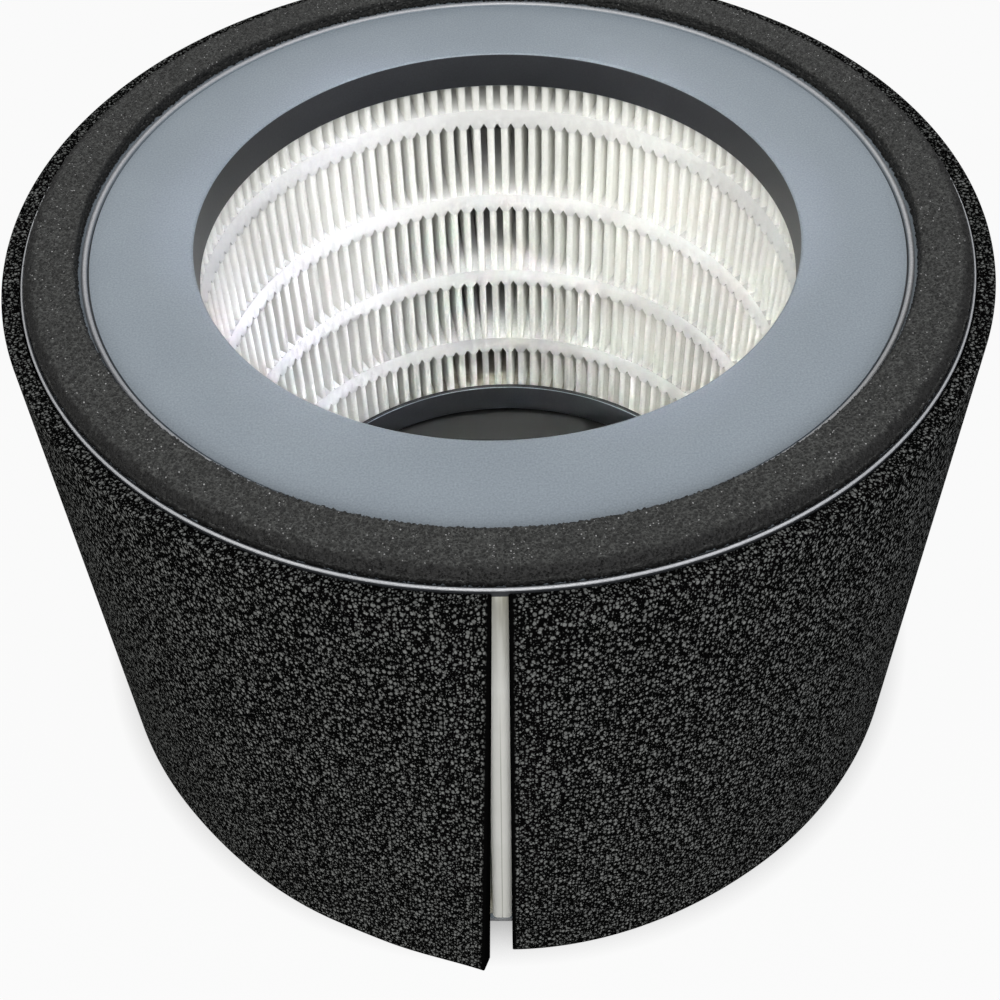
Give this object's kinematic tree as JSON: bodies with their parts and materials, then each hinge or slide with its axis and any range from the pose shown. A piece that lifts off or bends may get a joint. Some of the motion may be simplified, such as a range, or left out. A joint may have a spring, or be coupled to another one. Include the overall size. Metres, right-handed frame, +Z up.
{
  "type": "air purifier filter",
  "caption": "Round air purifier filter: white pleated pack between two moulded ring caps with foam gaskets, an open bore through it, and a black carbon sheet wrapped round the outside.",
  "frame": {"origin": "on the axis of the bore, at the level of the lower gasket's underside, which is the surface that the filter stands on", "axes": "+Z up along the axis of the bore, out of the upper end; -Y towards the gap between the ends of the carbon wrap"},
  "size_m": [0.1996, 0.2055, 0.1269],
  "materials": {
    "cap_plastic": "satin, fine moulded grain, bluish grey",
    "gasket_foam": "open-cell foam, charcoal",
    "potting_compound": "cast, slightly glossy",
    "pleat_fibre": "fine fibrous sheet, white",
    "hot_melt_glue": "soft translucent white",
    "carbon_sheet": "rough black sheet with grey granules"
  },
  "bodies": {
    "root": {"top_end_cap": "cap_plastic", "bottom_end_cap": "cap_plastic", "top_foam_gasket": "gasket_foam", "bottom_foam_gasket": "gasket_foam", "top_potting_ring": "potting_compound", "bottom_potting_ring": "potting_compound", "pleated_media": "pleat_fibre", "glue_bead_1": "hot_melt_glue", "glue_bead_2": "hot_melt_glue", "glue_bead_3": "hot_melt_glue", "glue_bead_4": "hot_melt_glue", "carbon_wrap": "carbon_sheet"}
  },
  "joints": []
}
